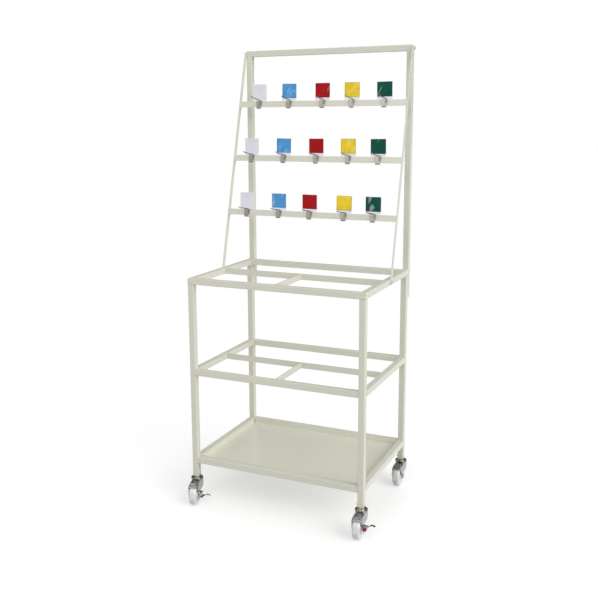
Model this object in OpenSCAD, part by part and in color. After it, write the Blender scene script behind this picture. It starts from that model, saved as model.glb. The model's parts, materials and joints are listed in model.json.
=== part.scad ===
// Catheter cart: an open trolley of square tube on four swivel casters. A raised frame
// behind it and two sloping straps carry three bars with clip-on hooks and colour tags.
// Millimetres. X runs to the right, Y to the back and Z up. The origin is on the floor,
// under the middle of the four legs.

/* [Frame] */
// Outside width of the square tube
tube_w = 20; // [18:1:25]
// Wall of the square tube
tube_wall = 1.5; // [1:0.1:2]
// Outside corner radius of the square tube
tube_r = 2; // [1:0.5:3]
// Width of the cart over its legs
cart_w = 600; // [500:10:800]
// Depth of the cart over its legs
cart_d = 425; // [350:5:550]
// Height from one shelf frame to the next
shelf_pitch = 300; // [220:10:350]
// Length of leg below the bottom frame
leg_foot = 46; // [30:1:80]
// Thickness of the flat bars that divide the shelf frames
divider_t = 3; // [2:0.5:5]

/* [Shelf pan] */
// Thickness of the pan's sheet
pan_sheet = 1.2; // [0.8:0.1:2]
// Gap between the pan's rim and the rails
pan_gap = 1; // [0.5:0.1:3]
// Outside radius of the fold at the foot of the pan's walls
pan_fold = 4; // [2.5:0.5:8]
// Width of the tabs that carry the pan
tab_w = 22; // [12:1:40]
// Thickness of the tabs that carry the pan
tab_t = 3; // [2:0.5:5]

/* [Upright frame] */
// Height of the upright frame above the top shelf frame
upright_h = 731; // [600:5:900]
// Length of post below the top of the top shelf frame
post_drop = 97; // [80:1:160]
// Radius of the upright frame's outer top corners
upright_r = 6; // [3:0.5:9]
// Diameter of the bolts that hold the posts to the rear legs
post_bolt_d = 6; // [5:0.5:8]
// Distance between the two bolts of one post
post_bolt_pitch = 45; // [30:1:60]

/* [Straps and bars] */
// Width of the sloping straps
strap_w = 13; // [10:0.5:18]
// Thickness of the sloping straps
strap_t = 3; // [2:0.5:5]
// Distance of a strap's lower bolt behind the middle of the cart
strap_foot_y = 21; // [0:1:60]
// Distance of a strap's centre line in front of the post at its upper bolt
strap_lead = 1.8; // [0:0.1:5]
// Distance of a strap's upper bolt below the top of the upright frame
strap_head_drop = 11; // [9.5:0.5:20]
// Radius of the eye at a strap's upper end
strap_eye_r = 8.5; // [7:0.5:9.5]
// Diameter of the bolts through the straps
strap_bolt_d = 5; // [4:0.5:6]
// Height of the flat bars that carry the hooks
bar_h = 20; // [16:1:25]
// Thickness of the flat bars that carry the hooks
bar_t = 3; // [2:0.5:5]
// Distance along the strap from its upper bolt to the middle of the top bar
bar_first = 179; // [150:1:200]
// Distance along the strap from one bar to the next
bar_pitch = 187; // [150:1:200]

/* [Hooks and tags] */
// Distance from a strap to the middle of the first hook
hook_end = 72; // [60:1:80]
// Thickness of a clip's sheet
clip_sheet = 1; // [0.8:0.1:1.5]
// Width of a clip at its top
clip_w = 20; // [15:0.5:24]
// Width of a clip at its foot
clip_foot_w = 16; // [10:0.5:18]
// Length of a clip behind the bar
clip_back = 12; // [8:0.5:15]
// Reach of a clip below the bar
clip_below = 4.4; // [4:0.1:6]
// Diameter of the hook's wire
wire_d = 3; // [2:0.1:4]
// Length of the wire from the clip to its bend
wire_reach = 54; // [30:1:70]
// Rise of the wire from the clip to its bend, in degrees
wire_rise = 2; // [0:0.5:10]
// Length of the wire's upturned tip
wire_tip = 13; // [8:0.5:18]
// Slope of the wire's upturned tip, in degrees
wire_tip_slope = 38; // [30:1:70]
// Width of a tag
tag_w = 53; // [40:1:60]
// Height of a tag's upright part, which carries the coloured film
tag_h = 48; // [40:0.5:56]
// Height of a tag's sloping foot, from the clip to the bend
tag_foot = 7.5; // [6.5:0.5:12]
// Thickness of a tag
tag_t = 1.2; // [0.8:0.1:2]
// Corner radius of a tag
tag_r = 2; // [1:0.5:4]
// Thickness of the coloured film on a tag
film_t = 0.4; // [0.2:0.1:0.6]

/* [Casters] */
// Diameter of the wheels
wheel_d = 70; // [60:1:90]
// Width of a wheel's tread
wheel_w = 24; // [20:1:28]
// Radius of a wheel's shoulders
wheel_shoulder = 7; // [3:0.5:9]
// Distance of the axle from the swivel axis
caster_trail = 36; // [30:1:42]
// Thickness of the fork's pressed sheet
fork_sheet = 2.5; // [2:0.1:3]
// Diameter of the axle
axle_d = 8; // [6:0.5:10]
// Diameter of the caster's stem
stem_d = 10; // [8:0.5:12]
// Length of the stem inside the leg
stem_l = 26; // [20:1:32]
// Diameter of the fixed cup under a leg
cup_d = 40; // [34:0.5:42]
// Reach of the brake pedal beyond the fork
pedal_reach = 33; // [28:1:45]
// Width of the brake pedal's tread
pedal_w = 7; // [5:0.5:10]
// Distance of the brake pedal's tread behind the axle
pedal_arm = 17; // [15:0.5:22]

/* [Fits] */
// Radial clearance of a turning shaft in its bore
run_fit = 0.05; // [0.02:0.01:0.1]
// Gap between faces that slide or turn past each other
face_gap = 0.3; // [0.2:0.05:0.4]
// Gap between a clip and the bar that it slides on
clip_gap = 0.25; // [0.2:0.05:0.5]
// Clearance of a bolt in its hole, on the diameter
bolt_clear = 0.4; // [0.2:0.1:0.8]

/* [Hidden] */
$fn = 48;
eps = 0.01;

paint = [0.80, 0.80, 0.73];
steel = [0.78, 0.78, 0.76];
nylon = [0.93, 0.94, 0.95];

// The caster's stack of heights, from the floor up to the foot of the leg.
axle_z = wheel_d / 2;
crown_gap = 2.5;
crown_z = wheel_d + crown_gap;
crown_top = crown_z + fork_sheet;
cup_z = crown_top + face_gap;
cup_sheet = 1.5;
cup_h = 3.4;
cup_flare = 4;
stem_nut_h = 8.4;
ear_sheet = 0.8;
leg_z = cup_z + cup_sheet + stem_nut_h + ear_sheet;

// Heights of the shelf frames' top faces and of the upright frame.
bottom_z = leg_z + leg_foot + tube_w;
middle_z = bottom_z + shelf_pitch;
top_z = middle_z + shelf_pitch;
upright_z = top_z + upright_h;
leg_x = cart_w / 2 - tube_w / 2;
leg_y = cart_d / 2 - tube_w / 2;
rail_in_x = cart_w / 2 - tube_w;
rail_in_y = cart_d / 2 - tube_w;
post_y = cart_d / 2;

// The plug in each leg's foot, which holds the stem.
plug_h = 12;
stem_clear = 0.2;

// The straps run from a bolt in the side rail to an eye on the side of the post.
foot_yz = [strap_foot_y, top_z - tube_w / 2];
head_yz = [post_y - strap_lead, upright_z - strap_head_drop];
eye_back = 6.5;
eye_yz = [post_y + eye_back, upright_z - strap_head_drop];
strap_vec = head_yz - foot_yz;
strap_l = norm(strap_vec);
rake = atan2(strap_vec[0], strap_vec[1]);

// The straps' ground ends stand a little proud of their edges.
strap_end_bulge = 0.4;

// Weld beads in the corners of the lower frames: leg on the rails, and root towards the leg.
weld = 3;
weld_root = 0.5;

// Radius of the notches at the pan's corners, which clear the welds.
pan_notch = 4;

// Tabs under the bottom rails: how far they lie under a rail and reach under the pan.
tab_hold = 12;
tab_reach = 12;

// Bolts: washer, hexagon head and blind rivet nut, as multiples of the bolt's diameter.
washer_ratio = 2.2;
hex_ratio = 1.9;
rivet_nut_ratio = 1.5;
washer_t = 1;
strap_head_h = 4;
post_head_h = 4.5;
rivet_nut_l = 8;
post_bolt_low = 16;

// Hooks: five to a bar, each a little off the even spacing.
row_names = ["top", "middle", "bottom"];
tag_names = ["white", "blue", "red", "yellow", "green"];
tag_colours = [[0.87, 0.87, 0.90], [0.24, 0.55, 0.82], [0.68, 0.10, 0.13],
    [0.92, 0.80, 0.15], [0.05, 0.33, 0.27]];
hook_shift = [[3, 1, 9, -1, -3], [-5, 1, 6, 5, -6], [-1, 4, 2, 9, -5]];
hook_pitch = (cart_w - 2 * hook_end) / 4;
tongue_w = 12;
tongue_l = 14;
slot_clear = 0.2;
film_side = 0.8;
film_margin = 0.5;
lip_r = 2.2;
wire_side = 3;
wire_up = 4.5;
wire_weld = 12;
weld_bite = 0.1;
ball_over = 0.2;

// Casters: corner order is front left, front right, rear left, rear right.
corner_names = ["front_left", "front_right", "rear_left", "rear_right"];
corner_side = [[-1, -1], [1, -1], [-1, 1], [1, 1]];
heading = [16, 5, 9, 2];
pedal_turn = [-40, 0];
hub_w = wheel_w + 3;
hub_r = axle_d / 2 + 7;
fork_in = hub_w / 2 + face_gap;
fork_out = fork_in + fork_sheet;
fork_bend_r = 7;
hood_r = crown_top - axle_z;
hood_sweep = 37;
crown_r = 20;
boss_r = axle_d / 2 + 5.5;
fork_rear = 17.5;
fork_rear_r = 12;
cheek_drop = 0.8;
shin_h = 7.5;
lever_t = 2;
lever_out = fork_out + face_gap + lever_t;
lever_hub_r = axle_d / 2 + 4;
nut_h = 5;
nut_d = axle_d * hex_ratio;
nut_washer_d = nut_d + 2;
knob_d = 13;
knob_t = 5;
knob_x = fork_out + 8.2;
knob_arm = 14.7;
knob_up = 3;
knob_lean = 72;
lever_h = 10;
knob_lever_h = 8;
lever_foot = 17;
tread_l = 17;
pedal_rise = 2;
tread_hump = 2.5;
pedal_web_h = 9;
pedal_web_l = 6;

// A square with rounded corners, centred.
module round_square(size, r) {
    square([size[0], size[1] - 2 * r], center = true);
    square([size[0] - 2 * r, size[1]], center = true);
    for (sx = [-1, 1], sy = [-1, 1])
        translate([sx * (size[0] / 2 - r), sy * (size[1] / 2 - r)]) circle(r);
}

// Open square tube along Z, from 0 to l.
module tube(l) {
    difference() {
        linear_extrude(l) round_square([tube_w, tube_w], tube_r);
        translate([0, 0, -1]) linear_extrude(l + 2)
            round_square([tube_w - 2 * tube_wall, tube_w - 2 * tube_wall], max(tube_r - tube_wall, 0.4));
    }
}

// Tube along X, centred, with its outer face on -Y.
module tube_x(l) {
    translate([-l / 2, 0, 0]) rotate([90, 0, 90]) tube(l);
}

// The same, mitred at both ends for a frame corner. The long side is on -Y.
module mitred_tube_x(l) {
    intersection() {
        tube_x(l);
        translate([0, 0, -tube_w]) linear_extrude(2 * tube_w)
            polygon([[-l / 2, -tube_w / 2], [l / 2, -tube_w / 2],
                [l / 2 - tube_w, tube_w / 2], [-l / 2 + tube_w, tube_w / 2]]);
    }
}

// A 2D profile drawn in Y and Z, extruded along X from x0 for a width w.
module extrude_x(x0, w) {
    translate([x0, 0, 0]) rotate([90, 0, 90]) linear_extrude(w) children();
}

// A cylinder along X from x0 for a length l.
module rod_x(d, x0, l) {
    translate([x0, 0, 0]) rotate([0, 90, 0]) cylinder(d = d, h = l);
}

// A round rod from point p to point q, with a ball at q that stands a little proud.
module rod_to(p, q, d) {
    v = q - p;
    translate(p) rotate([0, acos(v[2] / norm(v)), atan2(v[1], v[0])]) cylinder(d = d, h = norm(v));
    translate(q) sphere(d = d + ball_over);
}

// Leg of tube with a welded plug in its foot; rear legs are drilled for the post bolts.
module leg(side) {
    rear = side[1] > 0;
    color(paint) translate([side[0] * leg_x, side[1] * leg_y, leg_z]) {
        difference() {
            tube(top_z - tube_w - leg_z);
            if (rear) for (z = post_bolt_heights())
                translate([0, tube_w / 2 + 1, z - leg_z]) rotate([90, 0, 0])
                    cylinder(d = post_bolt_d + bolt_clear, h = tube_w / 2);
        }
        difference() {
            linear_extrude(plug_h) square(tube_w - 2 * tube_wall, center = true);
            translate([0, 0, -1]) cylinder(d = stem_d + stem_clear, h = plug_h + 2);
        }
    }
}

function post_bolt_heights() = [for (i = [0, 1]) top_z - post_drop + post_bolt_low + i * post_bolt_pitch];

// Flat bars inside a shelf frame: one across at mid depth, one from it to the front rail.
module dividers() {
    translate([-rail_in_x, -divider_t / 2, 0]) cube([2 * rail_in_x, divider_t, tube_w]);
    translate([-divider_t / 2, -rail_in_y, 0])
        cube([divider_t, rail_in_y - divider_t / 2, tube_w]);
}

// Top shelf frame: a mitred ring that closes the tops of the legs.
module top_frame() {
    color(paint) difference() {
        translate([0, 0, top_z - tube_w]) {
            for (a = [0, 180]) rotate([0, 0, a])
                translate([0, -leg_y, tube_w / 2]) mitred_tube_x(cart_w);
            for (a = [90, 270]) rotate([0, 0, a])
                translate([0, -leg_x, tube_w / 2]) mitred_tube_x(cart_d);
            dividers();
        }
        for (s = [-1, 1]) translate([s * cart_w / 2, foot_yz[0], foot_yz[1]])
            rotate([0, 90, 0]) cylinder(d = strap_bolt_d + bolt_clear, h = tube_w, center = true);
    }
}

// Four rails between the legs, with their top faces at z.
module leg_rails(z) {
    translate([0, 0, z - tube_w / 2]) {
        for (s = [-1, 1]) translate([0, s * leg_y, 0]) tube_x(2 * rail_in_x);
        for (s = [-1, 1]) translate([s * leg_x, 0, 0]) rotate([0, 0, 90]) tube_x(2 * rail_in_y);
    }
}

module middle_frame() {
    color(paint) {
        leg_rails(middle_z);
        corner_welds(middle_z);
        translate([0, 0, middle_z - tube_w]) dividers();
    }
}

// Weld beads that fill the inner corners between two rails and their leg.
module corner_welds(z) {
    for (sx = [-1, 1], sy = [-1, 1])
        translate([sx * rail_in_x, sy * rail_in_y, z - tube_w + tube_r])
            linear_extrude(tube_w - 2 * tube_r)
                polygon([[-sx * weld, 0], [0, -sy * weld], [sx * weld_root, 0], [0, sy * weld_root]]);
}

// Bottom shelf frame, with the tabs welded under its rails that carry the pan.
module bottom_frame() {
    tab_l = tab_hold + tab_reach;
    tab_mid = (tab_hold - tab_reach) / 2;
    color(paint) {
        leg_rails(bottom_z);
        corner_welds(bottom_z);
        translate([0, 0, bottom_z - tube_w - tab_t / 2]) {
            for (x = [-cart_w / 4, cart_w / 4], s = [-1, 1])
                translate([x, s * (rail_in_y + tab_mid), 0]) cube([tab_w, tab_l, tab_t], center = true);
            for (s = [-1, 1])
                translate([s * (rail_in_x + tab_mid), 0, 0]) cube([tab_l, tab_w, tab_t], center = true);
        }
    }
}

// One wall of the pan with its fold, outer face at y = -d / 2, mitred at both ends.
module pan_wall(l, d) {
    intersection() {
        extrude_x(-l / 2, l) translate([-d / 2, 0]) {
            translate([0, pan_fold]) square([pan_sheet, tube_w - pan_fold]);
            intersection() {
                translate([pan_fold, pan_fold]) difference() {
                    circle(pan_fold);
                    circle(pan_fold - pan_sheet);
                }
                square(pan_fold);
            }
            translate([pan_fold, 0]) square([pan_fold, pan_sheet]);
        }
        linear_extrude(tube_w) polygon([[-l / 2, -d / 2], [l / 2, -d / 2],
            [l / 2 - 2 * pan_fold, -d / 2 + 2 * pan_fold], [-l / 2 + 2 * pan_fold, -d / 2 + 2 * pan_fold]]);
    }
}

// Sheet metal pan inside the bottom frame, resting on the tabs, with open notched corners.
module shelf_pan() {
    pan_x = 2 * (rail_in_x - pan_gap);
    pan_y = 2 * (rail_in_y - pan_gap);
    color(paint) translate([0, 0, bottom_z - tube_w]) difference() {
        union() {
            for (a = [0, 180]) rotate([0, 0, a]) pan_wall(pan_x, pan_y);
            for (a = [90, 270]) rotate([0, 0, a]) pan_wall(pan_y, pan_x);
            translate([-pan_x / 2 + 2 * pan_fold - eps, -pan_y / 2 + 2 * pan_fold - eps, 0])
                cube([pan_x - 4 * pan_fold + 2 * eps, pan_y - 4 * pan_fold + 2 * eps, pan_sheet]);
        }
        for (sx = [-1, 1], sy = [-1, 1]) translate([sx * pan_x / 2, sy * pan_y / 2, -1])
            cylinder(r = pan_notch, h = tube_w + 2);
    }
}

// Two posts and a top rail of the same tube, welded, standing behind the rear legs.
module upright_frame() {
    low = top_z - post_drop;
    h = upright_z - low;
    cap = tube_wall;
    color(paint) translate([0, post_y + tube_w / 2, 0]) difference() {
        intersection() {
            union() {
                for (s = [-1, 1]) translate([s * leg_x, 0, low]) {
                    difference() {
                        tube(h);
                        mitre_cut(s, h);
                    }
                    linear_extrude(cap) square(tube_w - 2 * tube_wall + eps, center = true);
                }
                translate([0, 0, upright_z - tube_w / 2]) rotate([-90, 0, 0]) mitred_tube_x(cart_w);
            }
            translate([0, tube_w, 0]) rotate([90, 0, 0]) linear_extrude(2 * tube_w)
                upright_outline(low);
        }
        for (s = [-1, 1], z = post_bolt_heights()) translate([s * leg_x, 0, z])
            rotate([90, 0, 0]) cylinder(d = post_bolt_d + bolt_clear, h = 2 * tube_w, center = true);
        for (s = [-1, 1]) translate([s * cart_w / 2, eye_yz[0] - post_y - tube_w / 2, eye_yz[1]])
            rotate([0, 90, 0]) cylinder(d = strap_bolt_d + bolt_clear, h = tube_w, center = true);
    }
}

// Removes the part of a post above its mitre. s is the post's side, h its height.
module mitre_cut(s, h) {
    translate([0, tube_w, h]) rotate([90, 0, 0]) linear_extrude(2 * tube_w)
        polygon([[s * tube_w / 2, 0], [-s * tube_w / 2, -tube_w], [-s * tube_w, -tube_w],
            [-s * tube_w, 1], [s * tube_w / 2, 1]]);
}

// Outline of the upright frame from the front, with rounded top corners.
module upright_outline(low) {
    w = cart_w;
    translate([-w / 2, low]) square([w, upright_z - low - upright_r]);
    translate([-w / 2 + upright_r, low]) square([w - 2 * upright_r, upright_z - low]);
    for (s = [-1, 1]) translate([s * (w / 2 - upright_r), upright_z - upright_r]) circle(upright_r);
}

// Sloping strap on the outside of the cart, s is its side.
module strap(s) {
    color(paint) extrude_x(s > 0 ? cart_w / 2 : -cart_w / 2 - strap_t, strap_t) difference() {
        union() {
            translate(foot_yz) rotate(-rake) translate([-strap_w / 2, 0]) square([strap_w, strap_l]);
            for (p = [foot_yz, head_yz]) translate(p) circle(strap_w / 2 + strap_end_bulge);
            translate(eye_yz) circle(strap_eye_r);
        }
        for (p = [foot_yz, eye_yz]) translate(p) circle(d = strap_bolt_d + bolt_clear);
    }
}

// Places children on a bar: origin at the bar's front top edge, Z up along the strap.
module on_bar(row) {
    translate([0, foot_yz[0], foot_yz[1]]) rotate([-rake, 0, 0])
        translate([0, -strap_w / 2, strap_l - bar_first - row * bar_pitch + bar_h / 2]) children();
}

// Flat bar between the straps, flush with their front edges.
module hanging_bar(row) {
    color(paint) on_bar(row) translate([-cart_w / 2, 0, -bar_h]) cube([cart_w, bar_t, bar_h]);
}

// Bolt with washer and hexagon head, pointing into +Z, with a blind nut behind a wall.
module rivet_bolt(d, head_h, grip, wall) {
    translate([0, 0, -washer_t]) cylinder(d = washer_ratio * d, h = washer_t);
    translate([0, 0, -washer_t - head_h]) cylinder(d = hex_ratio * d, h = head_h, $fn = 6);
    translate([0, 0, -washer_t]) cylinder(d = d, h = washer_t + grip + wall + rivet_nut_l);
    translate([0, 0, grip + wall]) cylinder(d = rivet_nut_ratio * d, h = rivet_nut_l);
}

module frame_bolts() {
    color(steel) for (s = [-1, 1]) {
        for (p = [foot_yz, eye_yz]) translate([s * (cart_w / 2 + strap_t), p[0], p[1]])
            rotate([0, -s * 90, 0]) rivet_bolt(strap_bolt_d, strap_head_h, strap_t, tube_wall);
        for (z = post_bolt_heights()) translate([s * leg_x, post_y + tube_w, z])
            rotate([90, 0, 0]) rivet_bolt(post_bolt_d, post_head_h, tube_w, tube_wall);
    }
}

// Folded sheet clip over the bar, with the wire hook welded to its front.
module hook(row, col) {
    front = -clip_gap - tag_t - clip_sheet;
    back = bar_t + clip_gap + clip_sheet;
    low = -bar_h - clip_below;
    color(steel) at_hook(row, col) {
        difference() {
            intersection() {
                extrude_x(-clip_w / 2, clip_w) clip_profile(front, back, low);
                translate([0, front - 1, 0]) rotate([-90, 0, 0]) linear_extrude(back - front + 2)
                    clip_outline(low);
            }
            translate([-tongue_w / 2 - slot_clear, front + clip_sheet, 0])
                cube([tongue_w + 2 * slot_clear, tag_t, clip_gap + clip_sheet + 1]);
        }
        translate([wire_side, front - wire_d / 2 + weld_bite, 0]) wire();
    }
}

// Side profile of a clip in Y and Z: front plate, fold over the bar, back leg and lip.
module clip_profile(front, back, low) {
    top = clip_gap + clip_sheet;
    fold = clip_sheet + 0.5;
    difference() {
        translate([(front + back) / 2, top / 2 - clip_back / 2])
            round_square([back - front, top + clip_back], fold);
        translate([front + clip_sheet, -clip_back - 1])
            square([back - front - 2 * clip_sheet, clip_back + 1 + clip_gap]);
    }
    translate([front, low + lip_r]) square([clip_sheet, -low - lip_r]);
    translate([front + lip_r, low + lip_r]) difference() {
        circle(lip_r);
        circle(lip_r - clip_sheet);
        translate([-2 * lip_r, 0]) square(4 * lip_r);
        translate([0, -2 * lip_r]) square(4 * lip_r);
    }
    translate([front + lip_r, low]) square([lip_r, clip_sheet]);
}

// Front outline of a clip in X and -Z, narrower at its foot.
module clip_outline(low) {
    polygon([[-clip_w / 2, -2], [clip_w / 2, -2], [clip_w / 2, 6],
        [clip_foot_w / 2, -low + 1], [-clip_foot_w / 2, -low + 1], [-clip_w / 2, 6]]);
}

// Wire hook: a leg down the clip, a straight reach to the front and an upturned tip.
module wire() {
    translate([0, 0, -wire_weld]) sphere(d = wire_d + ball_over);
    rod_to([0, 0, -wire_weld], [0, 0, wire_up], wire_d);
    translate([0, 0, wire_up]) rotate([rake, 0, 0]) {
        bend = [0, -wire_reach * cos(wire_rise), wire_reach * sin(wire_rise)];
        tip = bend + wire_tip * [0, -cos(wire_tip_slope), sin(wire_tip_slope)];
        rod_to([0, 0, 0], bend, wire_d);
        rod_to(bend, tip, wire_d);
    }
}

// Places children at a hook, on its bar's front top edge.
module at_hook(row, col) {
    on_bar(row) translate([(col - 2) * hook_pitch + hook_shift[row][col], 0, 0]) children();
}

// Tag plate on the clip's fold: a foot that slopes like the bar, its tongue behind the
// clip's front plate, and above the bend an upright part that carries the film.
module tag(row, col) {
    bend_z = clip_gap + clip_sheet + tag_foot;
    color(tag_colours[col]) at_hook(row, col) translate([0, -clip_gap - tag_t, 0]) {
        difference() {
            extrude_x(-tag_w / 2, tag_w) tag_profile(bend_z);
            tag_cuts(bend_z);
        }
        if (col > 0) translate([0, 0, bend_z]) rotate([rake + 90, 0, 0])
            translate([0, tag_h / 2, -weld_bite]) linear_extrude(film_t + weld_bite)
                round_square([tag_w - 2 * film_side, tag_h - 2 * film_margin], tag_r);
    }
}

// Side profile of a tag in Y and Z, bent at bend_z.
module tag_profile(bend_z) {
    top = [0, bend_z] + tag_h * [-sin(rake), cos(rake)];
    polygon([[0, -tongue_l], [tag_t, -tongue_l], [tag_t, bend_z + tag_t * tan(rake / 2)],
        top + tag_t * [cos(rake), sin(rake)], top, [0, bend_z]]);
}

// What is cut from a tag: the room beside its tongue and the rounding of its four corners.
module tag_cuts(bend_z) {
    foot_z = bend_z - tag_foot;
    side = tag_w / 2 - tongue_w / 2;
    for (a = [0, 1]) mirror([a, 0, 0]) {
        translate([tongue_w / 2, -1, -tongue_l - 1]) cube([side + 1, tag_t + 2, tongue_l + 1 + foot_z]);
        translate([tag_w / 2 - tag_r, tag_t + 1, foot_z + tag_r]) rotate([90, 0, 0])
            linear_extrude(tag_t + 2) mirror([0, 1]) corner_cut();
        translate([0, 0, bend_z]) rotate([rake + 90, 0, 0])
            translate([tag_w / 2 - tag_r, tag_h - tag_r, -tag_t - 1]) linear_extrude(tag_t + 2)
                corner_cut();
    }
}

// What rounds a corner: a square less a quarter disc, with its centre at the origin.
module corner_cut() {
    difference() {
        square(tag_r + 1);
        circle(tag_r);
    }
}

// Places children under a leg: origin on the floor, fork trailing towards -Y.
module at_caster(i) {
    translate([corner_side[i][0] * leg_x, corner_side[i][1] * leg_y, 0])
        rotate([0, 0, heading[i]]) children();
}

// Places children at the axle of a caster.
module at_axle(i) {
    at_caster(i) translate([0, -caster_trail, axle_z]) children();
}

// Fixed parts of the casters: stem, rivet head, cup, tall nut and washer with two ears.
module caster_stems() {
    rivet_h = 2.5;
    rivet_z = crown_z - face_gap - rivet_h;
    flat_r = cup_d / 2 - cup_flare;
    color(steel) for (c = corner_side) translate([c[0] * leg_x, c[1] * leg_y, 0]) {
        translate([0, 0, rivet_z]) cylinder(d = stem_d, h = leg_z + stem_l - rivet_z);
        translate([0, 0, rivet_z]) cylinder(d = stem_d + 5, h = rivet_h);
        rotate_extrude() polygon([[0, cup_z], [flat_r, cup_z], [cup_d / 2, cup_z + cup_h],
            [cup_d / 2 - cup_sheet, cup_z + cup_h], [flat_r - cup_sheet / 2, cup_z + cup_sheet],
            [0, cup_z + cup_sheet]]);
        translate([0, 0, cup_z + cup_sheet - eps])
            cylinder(d = stem_d * hex_ratio, h = stem_nut_h + 2 * eps, $fn = 6);
        translate([0, 0, leg_z - ear_sheet]) cylinder(d = tube_w - 1, h = ear_sheet);
        for (a = [0, 180]) rotate([0, 0, a]) ear();
    }
}

// Ear of the washer under a leg, bent up and outwards beside the leg's wall.
module ear() {
    ear_w = 6;
    ear_l = 9;
    slope = 52;
    bend_x = tube_w / 2 + face_gap;
    tip = [bend_x + ear_l * cos(slope), leg_z + ear_l * sin(slope)];
    translate([0, ear_w / 2, 0]) rotate([90, 0, 0]) linear_extrude(ear_w)
        polygon([[0, leg_z - ear_sheet], [bend_x + ear_sheet * tan(slope / 2), leg_z - ear_sheet],
            tip + ear_sheet * [sin(slope), -cos(slope)], tip, [bend_x, leg_z], [0, leg_z]]);
}

// Pressed steel fork that turns on the stem: crown, hood over the wheel and two cheeks.
module fork(i) {
    color(steel) at_caster(i) difference() {
        union() {
            intersection() {
                translate([0, -caster_trail, axle_z]) {
                    intersection() {
                        rotate([0, 90, 0]) rotate_extrude() fork_section(0);
                        translate([-2 * fork_out, -2 * hood_r, -2 * hood_r])
                            cube([4 * fork_out, 2 * hood_r, 4 * hood_r]);
                    }
                    rotate([0, -90, -90]) linear_extrude(caster_trail + fork_rear + 1)
                        fork_section(-boss_r - 1);
                }
                extrude_x(-2 * fork_out, 4 * fork_out) fork_side();
            }
            translate([0, 0, crown_z]) cylinder(r = crown_r, h = fork_sheet);
        }
        translate([0, 0, crown_z - 1]) cylinder(d = stem_d + 2 * run_fit, h = fork_sheet + 2);
        translate([0, -caster_trail, axle_z]) rod_x(axle_d + 2 * run_fit, -fork_out - 1, 2 * fork_out + 2);
    }
}

// Section of the fork across the wheel: a channel with rounded corners, drawn with the
// distance from the axle along X, from low outwards.
module fork_section(low) {
    intersection() {
        difference() {
            round_square([2 * hood_r, 2 * fork_out], fork_bend_r);
            round_square([2 * (hood_r - fork_sheet), 2 * fork_in], fork_bend_r - fork_sheet);
        }
        translate([low, -2 * fork_out]) square([2 * hood_r, 4 * fork_out]);
    }
}

// Outline of the fork from the side, in Y and Z. The hood's round top lies inside it.
module fork_side() {
    axle_y = -caster_trail;
    front = hood_r * 1.05;
    low = crown_top - cheek_drop * hood_r;
    translate([axle_y, axle_z]) circle(boss_r);
    polygon(concat(
        [[axle_y, axle_z], [axle_y - boss_r, axle_z], [axle_y - boss_r - 0.5, axle_z + shin_h],
            [axle_y - front * sin(hood_sweep), axle_z + front * cos(hood_sweep)],
            [axle_y - front * sin(hood_sweep), crown_top + 1], [fork_rear, crown_top + 1]],
        [for (a = [0:15:90]) [fork_rear - fork_rear_r * (1 - cos(a)), low + fork_rear_r * (1 - sin(a))]],
        [[axle_y + 1.5 * boss_r, low - 1.5], [axle_y + 0.9 * boss_r, axle_z + 0.35 * boss_r]]));
}

// Nylon wheel with a rounded tread, a web and a hub.
module wheel(i) {
    rim_r = wheel_d / 2 - 10;
    web_w = wheel_w * 0.45;
    bore_r = axle_d / 2 + run_fit;
    color(nylon) at_axle(i) rotate([0, 90, 0]) rotate_extrude() {
        intersection() {
            translate([wheel_d / 2 - 10, 0]) round_square([20, wheel_w], wheel_shoulder);
            translate([rim_r, -wheel_w]) square([20, 2 * wheel_w]);
        }
        translate([hub_r - 1, -web_w / 2]) square([rim_r - hub_r + 2, web_w]);
        translate([bore_r, -hub_w / 2]) square([hub_r - bore_r, hub_w]);
    }
}

// Axle bolt with a washer and a hexagon at each end. Front ones leave room for the lever.
module axle(i) {
    braked = i < 2;
    right = braked ? lever_out + face_gap : fork_out;
    color(steel) at_axle(i) {
        rod_x(axle_d, -fork_out - nut_h, fork_out + right + 2 * nut_h);
        rod_x(nut_washer_d, -fork_out - washer_t, washer_t);
        translate([-fork_out - nut_h, 0, 0]) rotate([0, 90, 0]) cylinder(d = nut_d, h = nut_h, $fn = 6);
        rod_x(nut_washer_d, right, washer_t);
        translate([right, 0, 0]) rotate([0, 90, 0]) cylinder(d = nut_d, h = nut_h, $fn = 6);
    }
}

// Rocking brake lever on the axle: a side pedal on one arm, a red knob on the other and a
// short foot between them.
module brake_pedal(i) {
    x0 = fork_out + face_gap;
    tread_x = x0 + pedal_reach - tread_l;
    knob_low = knob_up - knob_lever_h / 2;
    color(steel) at_axle(i) rotate([pedal_turn[i], 0, 0]) difference() {
        union() {
            rod_x(2 * lever_hub_r, x0, lever_t);
            translate([x0, 0, -lever_h / 2]) cube([lever_t, pedal_arm + pedal_w / 2, lever_h]);
            translate([x0, -knob_arm, knob_low]) cube([lever_t, knob_arm, knob_lever_h]);
            translate([x0, -knob_lever_h / 2, -lever_foot]) cube([lever_t, knob_lever_h, lever_foot]);
            pedal_plate(x0, tread_x);
            translate([x0, -knob_arm - lever_t / 2, knob_low]) cube([knob_x - x0, lever_t, knob_lever_h]);
            translate([knob_x, -knob_arm - lever_t / 2, knob_up]) rotate([90 - knob_lean, 0, 0])
                translate([0, 0, -lever_t / 2]) cylinder(d = knob_d, h = knob_t);
        }
        rod_x(axle_d + 2 * run_fit, x0 - 1, lever_t + 2);
    }
}

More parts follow.
